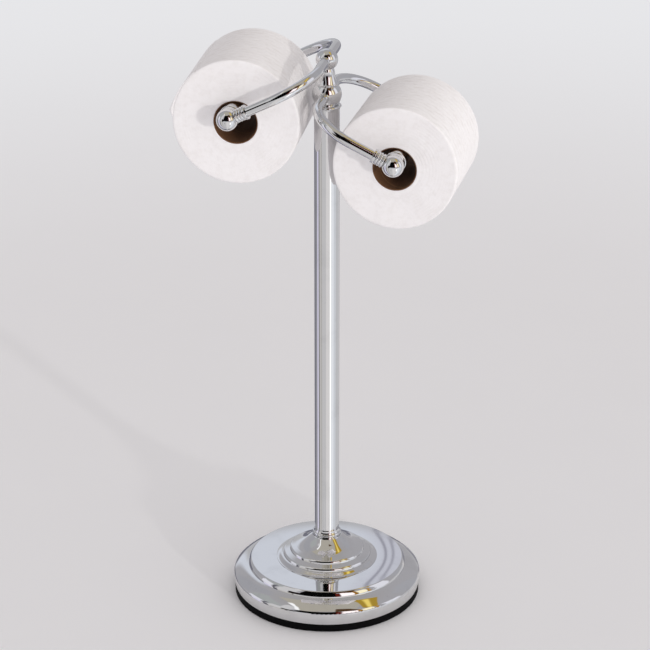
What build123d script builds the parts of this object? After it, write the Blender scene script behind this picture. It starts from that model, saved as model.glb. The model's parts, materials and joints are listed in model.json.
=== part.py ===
from build123d import *
import math
import os

# Freestanding holder for two rolls of toilet paper, in millimetres.
# The origin is on the floor under the post. +Z is up, the rollers lie along Y, the front is -Y.
# The left pair of arms is the upper one, on -X. The right pair is the lower one, on +X.

os.makedirs("parts", exist_ok=True)

# Clearances
running_gap = 0.07
seat_gap = 0.05
hang_gap = 0.35
end_gap = 0.5

# Post and its threaded rods
post_radius = 11.7
post_wall = 1.2
post_length = 432.5
rod_radius = 4.0
plug_length = 18.0
thread_run = 12.0

# Rubber base
pad_radius = 89.8
pad_height = 7.5
pad_floor = 2.5
pad_rim_width = 9.8
pad_edge = 1.0

# Base shell, from its lower edge over the shoulder to the rim, with slopes in degrees
shell_wall = 1.2
shell_lip = 0.3
wall_height = 11.4
shell_swell = 1.4
shoulder_round = 3.8
crown_slope = 46.0
crown_radius = 27.9
ledge_slope = 14.0
ledge_height = 1.0
ledge_draft = 0.2
flank_foot_slope = 75.0
flank_radius = 9.0
flank_slope = 45.0
rim_round = 1.4
plate_rim_slope = 3.5
plate_foot_slope = 0.5

# Weight inside the shell, with the nut and washer in its recess
weight_gap = 1.5
boss_inset = 4.0
recess_play = 1.9
recess_margin = 3.0
washer_width = 7.0
washer_thickness = 1.6
nut_wall = 2.5
nut_height = 6.5
rod_stickout = 2.0
nut_sides = 6

# Stepped collar on the plate, from its sheet edge up to the post, with slopes in degrees
skirt_radius = 49.0
skirt_edge = 0.45
skirt_draft = 0.1
skirt_foot_slope = 14.0
skirt_hollow_radius = 9.0
skirt_slope = 38.0
skirt_crest_radius = 6.0
skirt_top_slope = 8.0
riser_height = 1.35
riser_draft = 0.3
step_slope = 77.0
step_round = 2.4
tread_slope = 20.0
lower_tread = 4.8
upper_tread = 4.0
bell_radius = 32.0
bell_slope = 43.0
throat_radius = 50.0
throat_slope = 36.0
lip_round = 1.6
lip_slope = 75.0

# Ring at the foot of the post: a neck, a round bead and a cove
foot_neck_width = 0.9
foot_neck_height = 0.6
foot_bead_width = 2.2
foot_bead_height = 3.4
foot_cove_width = 0.2
foot_cove_height = 2.6

# Ring at the top of the post
ring_height = 6.0
ring_width = 1.6
ring_band = 1.6
ring_flare_shares = (0.3, 0.65)

# Lower hub (bulb), neck piece and upper hub (ball)
bulb_radius = 13.5
bulb_foot_radius = 10.6
bulb_top_radius = 9.9
groove_radius = 8.8
groove_height = 1.15
neck_height = 15.6
neck_base_radius = 10.7
neck_radius = 7.0
neck_band = 2.4
neck_bead = 0.6
neck_waist_shares = (0.25, 0.6)
ball_radius = 10.1
ball_foot_radius = 6.2
stud_radius = 3.0
stud_gap = 1.0

# Arms
arm_radius = 4.75
arm_bend = 40.0
arm_drop = 38.1
corner_overhang = 3.8
spigot_radius = 3.2
spigot_gap = 1.0
arm_bite = 3.6

# Elbows and their ringed collars
elbow_radius = 10.0
elbow_shoulder = 0.8
elbow_boss_length = 11.5
elbow_rim_width = 2.0
elbow_rim_height = 0.6
elbow_stub = 1.8
collar_length = 11.3
collar_radius = 5.5
collar_bead = 0.9
collar_flange_radius = 6.8
collar_flange_width = 2.4
collar_round = 0.5
collar_beads = 3

# Rollers
roller_radius = 9.2
roller_wall = 1.0
roller_overlap = 35.0
roller_split_share = 0.62
cap_thickness = 1.6
cap_plug_length = 6.0
pin_radius = 3.2
pin_length = 7.0
pin_round = 0.8
plunger_wall = 1.0
plunger_travel = 9.0
spring_wire = 0.6
spring_play = 1.2
spring_turns = 8

# Rolls of paper
core_inner_radius = 19.4
core_wall = 0.8
roll_length = 102.0
roll_edge = 1.2
left_roll_radius = 58.2
right_roll_radius = 57.1
left_roll_shift = -1.4
right_roll_shift = -4.4
left_roll_skew = -2.4
right_roll_skew = 2.3
roll_room = 11.7
roll_gap = 0.25

# Loose end of the left roll's paper, with its angles above the level of the roll's axis
tail_thickness = 0.6
tail_lift = 3.2
tail_bow_share = 0.33
tail_root_angle = 50.0
tail_tip_angle = 8.5
tail_fold_angle = 2.5


class Outline:
    """Outline of a turned piece of the base, laid inwards and upwards from its outer end."""

    def __init__(self, start):
        self.end = start
        self.edges = []

    def line(self, inward, upward):
        """Straight to a point further in and further up."""
        end = (self.end[0] - inward, self.end[1] + upward)
        self.edges.append((self.end, end))
        self.end = end

    def arc(self, first_slope, last_slope, radius):
        """Arc that climbs while its slope, in degrees above level, goes between two values."""
        first = math.radians(first_slope)
        last = math.radians(last_slope)
        points = [self.end]
        for angle in ((first + last) / 2, last):
            inward = radius * abs(math.sin(angle) - math.sin(first))
            upward = radius * abs(math.cos(angle) - math.cos(first))
            points.append((self.end[0] - inward, self.end[1] + upward))
        self.edges.append(points)
        self.end = points[-1]

    def draw(self):
        """Add the lines and arcs to the sketch under way."""
        for points in self.edges:
            if len(points) == 2:
                Line(*points)
            else:
                ThreePointArc(*points)


# Outline of the shell, from the top of its wall up to the foot of the collar
upright = 90.0
edge_radius = pad_radius - shell_lip
wall_top = (edge_radius + shell_swell, pad_height + wall_height)
shell_outline = Outline(wall_top)
shell_outline.arc(upright, crown_slope, shoulder_round)
shell_outline.arc(crown_slope, ledge_slope, crown_radius)
_, crown_middle, ledge = shell_outline.edges[-1]
shell_outline.line(ledge_draft, ledge_height)
shell_outline.arc(flank_foot_slope, flank_slope, flank_radius)
shell_outline.arc(flank_slope, plate_rim_slope, rim_round)
plate_edge = shell_outline.end
plate_turn = math.sin(math.radians(plate_rim_slope)) - math.sin(math.radians(plate_foot_slope))
plate_radius = (plate_edge[0] - skirt_radius) / plate_turn
shell_outline.arc(plate_rim_slope, plate_foot_slope, plate_radius)
plate_z = shell_outline.end[1]

# Outline of the collar, from its foot on the plate up to the post
collar_outline = Outline((skirt_radius, plate_z))
collar_outline.line(skirt_draft, skirt_edge)
collar_outline.arc(skirt_foot_slope, skirt_slope, skirt_hollow_radius)
collar_outline.arc(skirt_slope, skirt_top_slope, skirt_crest_radius)
for tread in (lower_tread, upper_tread):
    collar_outline.line(riser_draft, riser_height)
    collar_outline.arc(step_slope, tread_slope, step_round)
    collar_outline.line(tread, tread * math.tan(math.radians(tread_slope)))
collar_outline.arc(tread_slope, bell_slope, bell_radius)
collar_outline.arc(bell_slope, throat_slope, throat_radius)
collar_outline.arc(throat_slope, lip_slope, lip_round)
collar_top = collar_outline.end[1]

# Reach of the arms: the wider roll, with its loose end, clears the ring on the post
elbow_boss_radius = elbow_radius - elbow_shoulder
ring_radius = post_radius + ring_width
widest_roll = max(left_roll_radius, right_roll_radius) + tail_lift + roll_gap
arm_reach = ring_radius + widest_roll
elbow_depth = roll_length / 2 + roll_room + elbow_boss_length
corner_depth = elbow_depth + corner_overhang

# Heights up the post
post_top = collar_top + post_length
ring_top = post_top + ring_height
bulb_foot = ring_top + groove_height
bulb_z = bulb_foot + math.sqrt(bulb_radius**2 - bulb_foot_radius**2)
bulb_top = bulb_z + math.sqrt(bulb_radius**2 - bulb_top_radius**2)
neck_top = bulb_top + neck_height
ball_z = neck_top + math.sqrt(ball_radius**2 - ball_foot_radius**2)
roller_half_length = elbow_depth - elbow_boss_length - end_gap

HUBS = {"left": (-1, ball_z, ball_radius), "right": (1, bulb_z, bulb_radius)}
ENDS = {"front": -1, "back": 1}
ROLLS = {
    "left": (left_roll_radius, left_roll_shift, left_roll_skew),
    "right": (right_roll_radius, right_roll_shift, right_roll_skew),
}


def save(builder, name):
    """Label one finished piece and write its file."""
    builder.part.label = name
    export_step(builder.part, f"parts/{name}.step")


def side_plane(origin, along, across):
    """A sketch plane whose local Y runs along one direction and local X across it."""
    return Plane(origin=origin, x_dir=across, z_dir=across.cross(along))


def elbow_centre(side, end, hub_z):
    """Centre of one ball elbow."""
    return Vector(side * arm_reach, end * elbow_depth, hub_z - arm_drop)


def arm_directions(side, end, hub_z):
    """Unit vectors at an elbow: back along the arm, and square to it in the arm's plane."""
    corner = Vector(0, end * corner_depth, hub_z)
    back = (corner - elbow_centre(side, end, hub_z)).normalized()
    sideways = back.cross(Vector(0, 1, 0)).normalized()
    return back, sideways


# Rubber base: a tray that holds the weight and shows as a dark band under the shell
with BuildPart() as rubber_base:
    with BuildSketch(Plane.XZ):
        with BuildLine():
            Polyline(
                (0, 0),
                (pad_radius, 0),
                (pad_radius, pad_height),
                (pad_radius - pad_rim_width, pad_height),
                (pad_radius - pad_rim_width, pad_floor),
                (0, pad_floor),
                close=True,
            )
        make_face()
    revolve(axis=Axis.Z)
    lower_edges = rubber_base.edges().filter_by(GeomType.CIRCLE).group_by(Axis.Z)[0]
    fillet(lower_edges.sort_by(SortBy.RADIUS)[-1], radius=pad_edge)
save(rubber_base, "rubber_base")

# Cast weight: a disc in the tray, a boss up to the plate and a recess for the nut
shoulder_inside = (edge_radius - shell_wall, wall_top[1])
ledge_inside = (ledge[0] - shell_wall, ledge[1] - shell_wall)
inside_slope = (ledge_inside[1] - shoulder_inside[1]) / (shoulder_inside[0] - ledge_inside[0])
weight_radius = pad_radius - pad_rim_width - weight_gap
disc_top = shoulder_inside[1] + inside_slope * (shoulder_inside[0] - weight_radius) - weight_gap
boss_radius = skirt_radius - boss_inset
washer_radius = rod_radius + washer_width
recess_depth = recess_play + rod_stickout + nut_height + washer_thickness
with BuildPart() as base_weight:
    with BuildSketch(Plane.XY.offset(pad_floor)):
        Circle(weight_radius)
    extrude(amount=disc_top - pad_floor)
    with BuildSketch(Plane.XY.offset(disc_top)):
        Circle(boss_radius)
    extrude(amount=plate_z - shell_wall - disc_top)
    with BuildSketch(Plane.XY.offset(pad_floor)):
        Circle(washer_radius + recess_margin)
    extrude(amount=recess_depth, mode=Mode.SUBTRACT)
    with BuildSketch(Plane.XY.offset(pad_floor)):
        Circle(rod_radius + end_gap)
    extrude(amount=plate_z, mode=Mode.SUBTRACT)
    disc_rim = base_weight.edges().filter_by(GeomType.CIRCLE).sort_by(SortBy.RADIUS)[-2:]
    chamfer(disc_rim, length=weight_gap)
save(base_weight, "base_weight")

# Base shell: swelling wall, round crown, ledge, rim and a plate that climbs to the collar
with BuildPart() as base_shell:
    with BuildSketch(Plane.XZ):
        with BuildLine():
            shell_outline.draw()
            Polyline(
                (skirt_radius, plate_z),
                (rod_radius + end_gap, plate_z),
                (rod_radius + end_gap, plate_z - shell_wall),
                (skirt_radius, plate_z - shell_wall),
                (plate_edge[0] - shell_wall, plate_edge[1] - shell_wall),
                ledge_inside,
            )
            ThreePointArc(
                ledge_inside,
                (crown_middle[0] - shell_wall, crown_middle[1] - shell_wall),
                shoulder_inside,
            )
            Polyline(
                shoulder_inside,
                (edge_radius - shell_wall, pad_height),
                (edge_radius, pad_height),
            )
            TangentArc(wall_top, (edge_radius, pad_height), tangent=(0, -1))
        make_face()
    revolve(axis=Axis.Z)
save(base_shell, "base_shell")

# Stepped collar: a skirt, two rounded steps and a bell up to the post
with BuildPart() as base_collar:
    with BuildSketch(Plane.XZ):
        with BuildLine():
            collar_outline.draw()
            Polyline(
                collar_outline.end,
                (rod_radius + end_gap, collar_top),
                (rod_radius + end_gap, plate_z),
                (skirt_radius, plate_z),
            )
        make_face()
    revolve(axis=Axis.Z)
save(base_collar, "base_collar")

# Ring round the foot of the post
neck_top_z = collar_top + foot_neck_height
bead_top_z = neck_top_z + foot_bead_height
foot_top = bead_top_z + foot_cove_height
with BuildPart() as foot_ring:
    with BuildSketch(Plane.XZ):
        with BuildLine():
            Polyline(
                (post_radius + foot_neck_width, neck_top_z),
                (post_radius + foot_neck_width, collar_top),
                (post_radius + seat_gap, collar_top),
                (post_radius + seat_gap, foot_top),
                (post_radius + foot_cove_width, foot_top),
            )
            ThreePointArc(
                (post_radius + foot_neck_width, neck_top_z),
                (post_radius + foot_bead_width, neck_top_z + foot_bead_height / 2),
                (post_radius + foot_neck_width, bead_top_z),
            )
            TangentArc(
                (post_radius + foot_cove_width, foot_top),
                (post_radius + foot_neck_width, bead_top_z),
                tangent=(0, -1),
            )
        make_face()
    revolve(axis=Axis.Z)
save(foot_ring, "foot_ring")

# Post tube
with BuildPart() as post_tube:
    with BuildSketch(Plane.XY.offset(collar_top)):
        Circle(post_radius)
        Circle(post_radius - post_wall, mode=Mode.SUBTRACT)
    extrude(amount=post_length)
save(post_tube, "post_tube")

# Threaded plugs pressed into both ends of the post
for plug_name, plug_base in (("foot_plug", collar_top), ("top_plug", post_top - plug_length)):
    with BuildPart() as plug:
        with BuildSketch(Plane.XY.offset(plug_base)):
            Circle(post_radius - post_wall - seat_gap)
            Circle(rod_radius + seat_gap, mode=Mode.SUBTRACT)
        extrude(amount=plug_length)
    save(plug, plug_name)

# Tie rod, washer and nut that clamp the base together
washer_z = pad_floor + recess_depth - washer_thickness
nut_z = washer_z - nut_height
with BuildPart() as tie_rod:
    with BuildSketch(Plane.XY.offset(nut_z - rod_stickout)):
        Circle(rod_radius)
    extrude(amount=collar_top + thread_run - nut_z + rod_stickout)
save(tie_rod, "tie_rod")

with BuildPart() as base_washer:
    with BuildSketch(Plane.XY.offset(washer_z)):
        Circle(washer_radius)
        Circle(rod_radius + seat_gap, mode=Mode.SUBTRACT)
    extrude(amount=washer_thickness)
save(base_washer, "base_washer")

with BuildPart() as base_nut:
    with BuildSketch(Plane.XY.offset(nut_z)):
        RegularPolygon(rod_radius + nut_wall, side_count=nut_sides, major_radius=False)
        Circle(rod_radius + seat_gap, mode=Mode.SUBTRACT)
    extrude(amount=nut_height)
save(base_nut, "base_nut")

# Flared ring on top of the post
arc_share = math.sqrt(0.5)
with BuildPart() as post_top_ring:
    with BuildSketch(Plane.XZ):
        with BuildLine():
            Polyline(
                (ring_radius - ring_band, ring_top),
                (rod_radius + seat_gap, ring_top),
                (rod_radius + seat_gap, post_top),
                (post_radius, post_top),
            )
            ThreePointArc(
                (post_radius, post_top),
                (
                    post_radius + ring_width * ring_flare_shares[0],
                    post_top + (ring_height - ring_band) * ring_flare_shares[1],
                ),
                (ring_radius, ring_top - ring_band),
            )
            ThreePointArc(
                (ring_radius, ring_top - ring_band),
                (ring_radius - ring_band * (1 - arc_share), ring_top - ring_band * (1 - arc_share)),
                (ring_radius - ring_band, ring_top),
            )
        make_face()
    revolve(axis=Axis.Z)
save(post_top_ring, "post_top_ring")

# Stud from the post's top plug up into the lower hub
lower_stud_top = bulb_z - spigot_radius - stud_gap
with BuildPart() as lower_stud:
    with BuildSketch(Plane.XY.offset(post_top - thread_run)):
        Circle(rod_radius)
    extrude(amount=lower_stud_top - post_top + thread_run)
save(lower_stud, "lower_stud")

# Stud from the lower hub through the neck piece into the upper hub
upper_stud_base = bulb_z + spigot_radius + end_gap
upper_stud_top = ball_z - spigot_radius - stud_gap
with BuildPart() as upper_stud:
    with BuildSketch(Plane.XY.offset(upper_stud_base)):
        Circle(stud_radius)
    extrude(amount=upper_stud_top - upper_stud_base)
save(upper_stud, "upper_stud")

# Lower hub: a bulb on a short foot, cut flat on top and bored across for the right pair of arms
with BuildPart() as lower_hub:
    with BuildSketch(Plane.XZ):
        with BuildLine():
            Polyline(
                (bulb_foot_radius, bulb_foot),
                (groove_radius, bulb_foot),
                (groove_radius, ring_top),
                (0, ring_top),
                (0, bulb_top),
                (bulb_top_radius, bulb_top),
            )
            ThreePointArc(
                (bulb_top_radius, bulb_top), (bulb_radius, bulb_z), (bulb_foot_radius, bulb_foot)
            )
        make_face()
    revolve(axis=Axis.Z)
    with BuildSketch(Plane.XY.offset(ring_top)):
        Circle(rod_radius + seat_gap)
    extrude(amount=lower_stud_top + end_gap - ring_top, mode=Mode.SUBTRACT)
    with BuildSketch(Plane.XY.offset(upper_stud_base - end_gap)):
        Circle(stud_radius + seat_gap)
    extrude(amount=bulb_top - upper_stud_base + end_gap, mode=Mode.SUBTRACT)
    with BuildSketch(Plane(origin=(0, 0, bulb_z), x_dir=(1, 0, 0), z_dir=(0, 1, 0))):
        Circle(spigot_radius + seat_gap)
    extrude(amount=bulb_radius, both=True, mode=Mode.SUBTRACT)
    for end in ENDS.values():
        seat = end * (bulb_radius - arm_bite)
        with BuildSketch(Plane(origin=(0, seat, bulb_z), x_dir=(1, 0, 0), z_dir=(0, end, 0))):
            Circle(arm_radius + seat_gap)
        extrude(amount=bulb_radius, mode=Mode.SUBTRACT)
save(lower_hub, "lower_hub")

# Neck piece: a bead and a hollow cone between the hubs
with BuildPart() as neck_piece:
    with BuildSketch(Plane.XZ):
        with BuildLine():
            Polyline(
                (ball_foot_radius, neck_top),
                (stud_radius + seat_gap, neck_top),
                (stud_radius + seat_gap, bulb_top),
                (neck_base_radius - neck_bead, bulb_top),
            )
            ThreePointArc(
                (neck_base_radius - neck_bead, bulb_top),
                (neck_base_radius, bulb_top + neck_band / 2),
                (neck_base_radius - neck_bead, bulb_top + neck_band),
            )
            ThreePointArc(
                (neck_base_radius - neck_bead, bulb_top + neck_band),
                (
                    neck_radius + (neck_base_radius - neck_radius) * neck_waist_shares[0],
                    bulb_top + (neck_height - neck_band) * neck_waist_shares[1],
                ),
                (neck_radius, neck_top - neck_band),
            )
            Line((neck_radius, neck_top - neck_band), (ball_foot_radius, neck_top))
        make_face()
    revolve(axis=Axis.Z)
save(neck_piece, "neck_piece")

# Upper hub: the top ball, bored across for the left pair of arms
with BuildPart() as upper_hub:
    with BuildSketch(Plane.XZ):
        with BuildLine():
            Line((ball_foot_radius, neck_top), (0, neck_top))
            Line((0, neck_top), (0, ball_z + ball_radius))
            ThreePointArc(
                (0, ball_z + ball_radius), (ball_radius, ball_z), (ball_foot_radius, neck_top)
            )
        make_face()
    revolve(axis=Axis.Z)
    with BuildSketch(Plane.XY.offset(neck_top)):
        Circle(stud_radius + seat_gap)
    extrude(amount=upper_stud_top + end_gap - neck_top, mode=Mode.SUBTRACT)
    with BuildSketch(Plane(origin=(0, 0, ball_z), x_dir=(1, 0, 0), z_dir=(0, 1, 0))):
        Circle(spigot_radius + seat_gap)
    extrude(amount=ball_radius, both=True, mode=Mode.SUBTRACT)
    for end in ENDS.values():
        seat = end * (ball_radius - arm_bite)
        with BuildSketch(Plane(origin=(0, seat, ball_z), x_dir=(1, 0, 0), z_dir=(0, end, 0))):
            Circle(arm_radius + seat_gap)
        extrude(amount=ball_radius, mode=Mode.SUBTRACT)
save(upper_hub, "upper_hub")


def make_arm(side, end, hub_z, hub_radius):
    """One bent arm: a spigot in the hub, a straight, one large bend and a straight to the elbow."""
    seat = hub_radius - arm_bite
    back, _ = arm_directions(side, end, hub_z)
    tip = elbow_centre(side, end, hub_z) + back * (elbow_radius + elbow_stub)
    root = Vector(0, end * seat, hub_z)
    with BuildPart() as arm:
        with BuildLine() as route:
            FilletPolyline(root, Vector(0, end * corner_depth, hub_z), tip, radius=arm_bend)
        with BuildSketch(Plane(origin=root, x_dir=(1, 0, 0), z_dir=(0, end, 0))):
            Circle(arm_radius)
        sweep(path=route.wire())
        with BuildSketch(Plane(origin=root, x_dir=(1, 0, 0), z_dir=(0, -end, 0))):
            Circle(spigot_radius)
        extrude(amount=seat - spigot_gap)
    return arm


def make_collar(side, end, hub_z):
    """One ringed collar, turned about the arm's last straight, from the ball to its flange."""
    back, sideways = arm_directions(side, end, hub_z)
    centre = elbow_centre(side, end, hub_z)
    bore = arm_radius + seat_gap
    start = elbow_radius - collar_bead
    flange_start = start + collar_length - collar_flange_width
    pitch = (flange_start - start - collar_bead) / collar_beads
    with BuildPart() as collar:
        with BuildSketch(side_plane(centre, back, sideways)):
            with BuildLine():
                Polyline(
                    (collar_radius, flange_start),
                    (collar_flange_radius, flange_start),
                    (collar_flange_radius, flange_start + collar_flange_width),
                    (bore, flange_start + collar_flange_width),
                    (bore, start),
                    (collar_radius, start),
                )
                for bead in range(collar_beads):
                    low = start + bead * pitch
                    ThreePointArc(
                        (collar_radius, low),
                        (collar_radius + collar_bead, low + pitch / 2),
                        (collar_radius, low + pitch),
                    )
                Line((collar_radius, start + collar_beads * pitch), (collar_radius, flange_start))
            make_face()
        revolve(axis=Axis(centre, back))
        flange_rims = collar.edges().filter_by(GeomType.CIRCLE).sort_by(SortBy.RADIUS)[-2:]
        fillet(flange_rims, radius=collar_round)
    return collar


def make_elbow(side, end, hub_z):
    """One ball elbow: a stub into the collar and a bored boss towards the roller."""
    back, sideways = arm_directions(side, end, hub_z)
    centre = elbow_centre(side, end, hub_z)
    inward = Vector(0, -end, 0)
    boss_plane = Plane(origin=centre, x_dir=(1, 0, 0), z_dir=inward)
    rim_start = elbow_boss_length - elbow_rim_width
    with BuildPart() as elbow:
        with BuildSketch(side_plane(centre, inward, Vector(1, 0, 0))):
            with BuildLine():
                Line((0, -elbow_radius), (0, elbow_boss_length))
                Line((0, elbow_boss_length), (elbow_boss_radius, elbow_boss_length))
                ThreePointArc(
                    (elbow_boss_radius, elbow_boss_length),
                    (elbow_boss_radius + elbow_rim_height, rim_start + elbow_rim_width / 2),
                    (elbow_boss_radius, rim_start),
                )
                meet = math.sqrt(elbow_radius**2 - elbow_boss_radius**2)
                Line((elbow_boss_radius, rim_start), (elbow_boss_radius, meet))
                ThreePointArc((elbow_boss_radius, meet), (elbow_radius, 0), (0, -elbow_radius))
            make_face()
        revolve(axis=Axis(centre, inward))
        with BuildSketch(Plane(origin=centre, x_dir=sideways, z_dir=back)):
            Circle(arm_radius)
        extrude(amount=elbow_radius + elbow_stub)
        with BuildSketch(boss_plane.offset(elbow_boss_length - pin_length - end_gap)):
            Circle(pin_radius + running_gap)
        extrude(amount=elbow_boss_length, mode=Mode.SUBTRACT)
    return elbow


def make_cap(side, end, hub_z, plug_radius):
    """One roller cap: a flange, a plug inside the tube and a pin into the elbow."""
    outward = Vector(0, end, 0)
    face = Vector(side * arm_reach, end * roller_half_length, hub_z - arm_drop)
    face_plane = Plane(origin=face, x_dir=(1, 0, 0), z_dir=outward)
    with BuildPart() as cap:
        with BuildSketch(face_plane):
            Circle(roller_radius)
        extrude(amount=-cap_thickness)
        with BuildSketch(face_plane.offset(-cap_thickness)):
            Circle(plug_radius)
        extrude(amount=-cap_plug_length)
        with BuildSketch(face_plane):
            Circle(pin_radius)
        extrude(amount=pin_length)
        rims = cap.edges().filter_by(GeomType.CIRCLE).sort_by(Axis(face, outward))
        fillet(rims[-1], radius=pin_round)
    return cap


def make_roller(side, hub_z):
    """Roller pieces: tube and plunger, and the spring between the front plug and the plunger."""
    inner_radius = roller_radius - roller_wall
    plunger_radius = inner_radius - running_gap
    front = -roller_half_length + cap_thickness
    split = front + (roller_half_length - front) * roller_split_share
    plunger_front = split - roller_overlap
    plunger_back = roller_half_length - cap_thickness
    spring_front = front + cap_plug_length + seat_gap
    spring_room = plunger_front - spring_front - seat_gap
    axis_z = hub_z - arm_drop

    def across(y):
        """Plane square to the roller at one place along it, facing the back."""
        return Plane(origin=(side * arm_reach, y, axis_z), x_dir=(1, 0, 0), z_dir=(0, 1, 0))

    with BuildPart() as tube:
        with BuildSketch(across(front)):
            Circle(roller_radius)
            Circle(inner_radius, mode=Mode.SUBTRACT)
        extrude(amount=split - front)

    with BuildPart() as plunger:
        with BuildSketch(across(plunger_front)):
            Circle(plunger_radius)
        extrude(amount=plunger_back - plunger_front)
        with BuildSketch(across(plunger_front + plunger_wall)):
            Circle(plunger_radius - plunger_wall)
        extrude(amount=plunger_back - plunger_front, mode=Mode.SUBTRACT)

    coil_radius = inner_radius - spring_play - spring_wire
    pitch = (spring_room - 2 * spring_wire) / spring_turns
    coil_base = (side * arm_reach, spring_front + spring_wire, axis_z)
    with BuildPart() as spring:
        with BuildLine() as coil:
            Helix(
                pitch=pitch,
                height=pitch * spring_turns,
                radius=coil_radius,
                center=coil_base,
                direction=(0, 1, 0),
            )
        wire_path = coil.wire()
        with BuildSketch(Plane(origin=wire_path @ 0, z_dir=wire_path % 0)):
            Circle(spring_wire)
        sweep(path=wire_path, is_frenet=True)
    print(f"spring: least gap between turns {pitch - 2 * spring_wire:.2f} mm")
    return tube, plunger, spring


def polar(radius, degrees):
    """Point of a roll's end face, from its radius and its angle above level."""
    angle = math.radians(degrees)
    return radius * math.cos(angle), radius * math.sin(angle)


def make_roll(side, hub_z, radius, shift, skew, with_tail):
    """Cardboard core and paper of one roll, hanging on its roller and turned a little about Z."""
    skew_shift = roll_length / 2 * math.sin(math.radians(skew))
    hang = math.sqrt((core_inner_radius - roller_radius - hang_gap) ** 2 - skew_shift**2)
    centre = Vector(side * arm_reach, shift, hub_z - arm_drop - hang)
    along = Vector(0, 1, 0).rotate(Axis.Z, -skew)
    start = centre - along * (roll_length / 2)
    face = Plane(origin=start, x_dir=Vector(0, 0, 1).cross(along), z_dir=along)
    core_radius = core_inner_radius + core_wall
    print(f"roll axis through {centre.X:.3f} {centre.Y:.3f} {centre.Z:.3f}, along {along}")

    with BuildPart() as core:
        with BuildSketch(face):
            Circle(core_radius)
            Circle(core_inner_radius, mode=Mode.SUBTRACT)
        extrude(amount=roll_length)

    with BuildPart() as paper:
        with BuildSketch(face):
            Circle(radius)
        extrude(amount=roll_length)
        fillet(paper.edges().filter_by(GeomType.CIRCLE), radius=roll_edge)
        if with_tail:
            middle_angle = (tail_root_angle + tail_tip_angle) / 2
            bow = radius + tail_lift * tail_bow_share
            tip = radius + tail_lift
            inner_root = polar(radius - 2 * tail_thickness, tail_root_angle)
            outer_root = polar(radius - tail_thickness, tail_root_angle)
            inner_tip = polar(tip - 2 * tail_thickness, tail_tip_angle)
            outer_tip = polar(tip, tail_tip_angle)
            inner_fold = polar(radius - 2 * tail_thickness, tail_fold_angle)
            outer_fold = polar(radius - tail_thickness, tail_fold_angle)
            with BuildSketch(face.offset(roll_edge)):
                with BuildLine():
                    ThreePointArc(outer_root, polar(bow, middle_angle), outer_tip)
                    Polyline(outer_tip, outer_fold, inner_fold, inner_tip)
                    ThreePointArc(inner_tip, polar(bow - tail_thickness, middle_angle), inner_root)
                    Line(inner_root, outer_root)
                make_face()
            extrude(amount=roll_length - 2 * roll_edge)
        with BuildSketch(face):
            Circle(core_radius)
        extrude(amount=roll_length, mode=Mode.SUBTRACT)
    return core, paper


# Arms, collars and elbows
for side_name, (side, hub_z, hub_radius) in HUBS.items():
    for end_name, end in ENDS.items():
        place = f"{side_name}_{end_name}"
        save(make_arm(side, end, hub_z, hub_radius), f"{place}_arm")
        save(make_collar(side, end, hub_z), f"{place}_collar")
        save(make_elbow(side, end, hub_z), f"{place}_elbow")

# Rollers, springs, cores and paper
for side_name, (side, hub_z, _) in HUBS.items():
    tube, plunger, spring = make_roller(side, hub_z)
    tube_plug = roller_radius - roller_wall - seat_gap
    plunger_plug = roller_radius - roller_wall - running_gap - plunger_wall - seat_gap
    save(tube, f"{side_name}_roller_tube")
    save(plunger, f"{side_name}_roller_plunger")
    save(spring, f"{side_name}_roller_spring")
    save(make_cap(side, ENDS["front"], hub_z, tube_plug), f"{side_name}_roller_front_cap")
    save(make_cap(side, ENDS["back"], hub_z, plunger_plug), f"{side_name}_roller_back_cap")
    radius, shift, skew = ROLLS[side_name]
    core, paper = make_roll(side, hub_z, radius, shift, skew, side_name == "left")
    save(core, f"{side_name}_core")
    save(paper, f"{side_name}_paper_roll")

print(f"spring travel {plunger_travel:.1f} mm, pin length {pin_length:.1f} mm")
print(f"roller axes at {ball_z - arm_drop:.2f} and {bulb_z - arm_drop:.2f} mm")
print(f"arm reach {arm_reach:.2f}, elbow depth {elbow_depth:.2f} mm")
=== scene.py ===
"""Looks for a freestanding holder of two paper rolls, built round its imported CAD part."""

import json
import logging
import math
from abc import ABC, abstractmethod
from collections.abc import Callable, Iterable
from dataclasses import dataclass
from enum import Enum

import bmesh
import bpy
from mathutils import Matrix, Vector, noise


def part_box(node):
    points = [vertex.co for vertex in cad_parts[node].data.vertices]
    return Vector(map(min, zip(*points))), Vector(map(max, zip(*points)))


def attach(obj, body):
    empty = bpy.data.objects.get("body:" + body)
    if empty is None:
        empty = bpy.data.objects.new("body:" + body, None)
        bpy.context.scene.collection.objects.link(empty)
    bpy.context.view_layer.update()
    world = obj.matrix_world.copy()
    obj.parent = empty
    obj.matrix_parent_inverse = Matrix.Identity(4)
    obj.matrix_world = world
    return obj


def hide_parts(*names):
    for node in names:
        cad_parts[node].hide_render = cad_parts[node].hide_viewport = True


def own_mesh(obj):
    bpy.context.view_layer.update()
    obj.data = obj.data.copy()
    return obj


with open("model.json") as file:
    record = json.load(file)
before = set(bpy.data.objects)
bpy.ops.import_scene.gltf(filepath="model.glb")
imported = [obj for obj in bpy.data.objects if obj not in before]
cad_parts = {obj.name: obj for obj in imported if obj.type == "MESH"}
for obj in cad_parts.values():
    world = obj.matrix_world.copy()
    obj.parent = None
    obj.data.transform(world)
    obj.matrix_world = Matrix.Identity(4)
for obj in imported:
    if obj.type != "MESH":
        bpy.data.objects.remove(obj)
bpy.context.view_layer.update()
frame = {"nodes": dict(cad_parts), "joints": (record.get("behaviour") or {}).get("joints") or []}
MM = 0.001
TURN = 2 * math.pi

log = logging.getLogger("roll_holder")

Triple = tuple[float, float, float]
Shade = Triple
Paint = tuple[float, float, float, float]
Span = tuple[float, float]
Profile = list[tuple[float, float]]
Points = list[bmesh.types.BMVert]

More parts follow.
